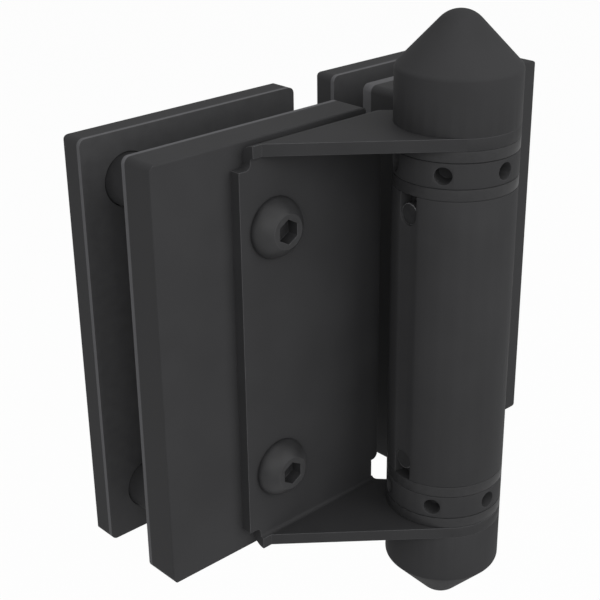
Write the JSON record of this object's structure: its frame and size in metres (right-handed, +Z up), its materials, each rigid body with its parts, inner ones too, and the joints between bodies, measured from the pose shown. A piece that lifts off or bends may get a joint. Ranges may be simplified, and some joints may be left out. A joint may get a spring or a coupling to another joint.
{
  "type": "glass gate hinge",
  "caption": "Self-closing barrel hinge with clamp plates on both sides that hangs a frameless glass gate on a fixed glass panel.",
  "frame": {"origin": "centre of the fixed panel's glass face on the front pad", "axes": "+X from the fixed panel's leaf to the gate's leaf, +Y away from the barrel side through the glass, +Z up"},
  "size_m": [0.1221, 0.0653, 0.148],
  "materials": {
    "plates": "satin black powder coat",
    "brackets": "satin black powder coat",
    "barrel": "satin black powder coat",
    "collars": "satin black powder coat",
    "rings": "turned black plastic",
    "screws": "black coated steel",
    "pads": "smooth black rubber",
    "sleeves": "black plastic",
    "inner_steel": "turned steel",
    "springs": "oiled spring wire"
  },
  "bodies": {
    "panel_side": {"panel_front_plate": "plates", "panel_back_plate": "plates", "panel_front_pad": "pads", "panel_back_pad": "pads", "panel_sleeves": "sleeves", "panel_clamp_screws": "screws", "panel_bracket": "brackets", "panel_bracket_screws": "screws", "pivot_pin": "inner_steel", "upper_thrust_ring": "rings", "lower_thrust_ring": "rings", "upper_cap": "barrel", "lower_cap": "barrel"},
    "gate_side": {"gate_front_plate": "plates", "gate_back_plate": "plates", "gate_front_pad": "pads", "gate_back_pad": "pads", "gate_sleeves": "sleeves", "gate_clamp_screws": "screws", "gate_bracket": "brackets", "gate_bracket_screws": "screws", "barrel_tube": "barrel", "spring_anchor": "inner_steel", "upper_bush": "rings", "lower_bush": "rings", "upper_key_pin": "inner_steel", "lower_key_pin": "inner_steel", "upper_spring": "springs", "lower_spring": "springs"},
    "upper_collar": {"upper_collar": "collars"},
    "lower_collar": {"lower_collar": "collars"}
  },
  "joints": [
    {"name": "gate_swing", "type": "hinge", "parent": "panel_side", "child": "gate_side", "pos_m": [0.0377, -0.0301, 0], "axis": [0, 0, -1], "range_deg": [0, 170], "stiffness_Nm_per_rad": 1, "springref_deg": -60.16, "deforming": ["upper_spring", "lower_spring"]},
    {"name": "upper_collar_turn", "type": "hinge", "parent": "panel_side", "child": "upper_collar", "pos_m": [0.0377, -0.0301, 0.041], "axis": [0, 0, 1], "range_deg": [-60, 180]},
    {"name": "lower_collar_turn", "type": "hinge", "parent": "panel_side", "child": "lower_collar", "pos_m": [0.0377, -0.0301, -0.041], "axis": [0, 0, 1], "range_deg": [-60, 180]}
  ]
}
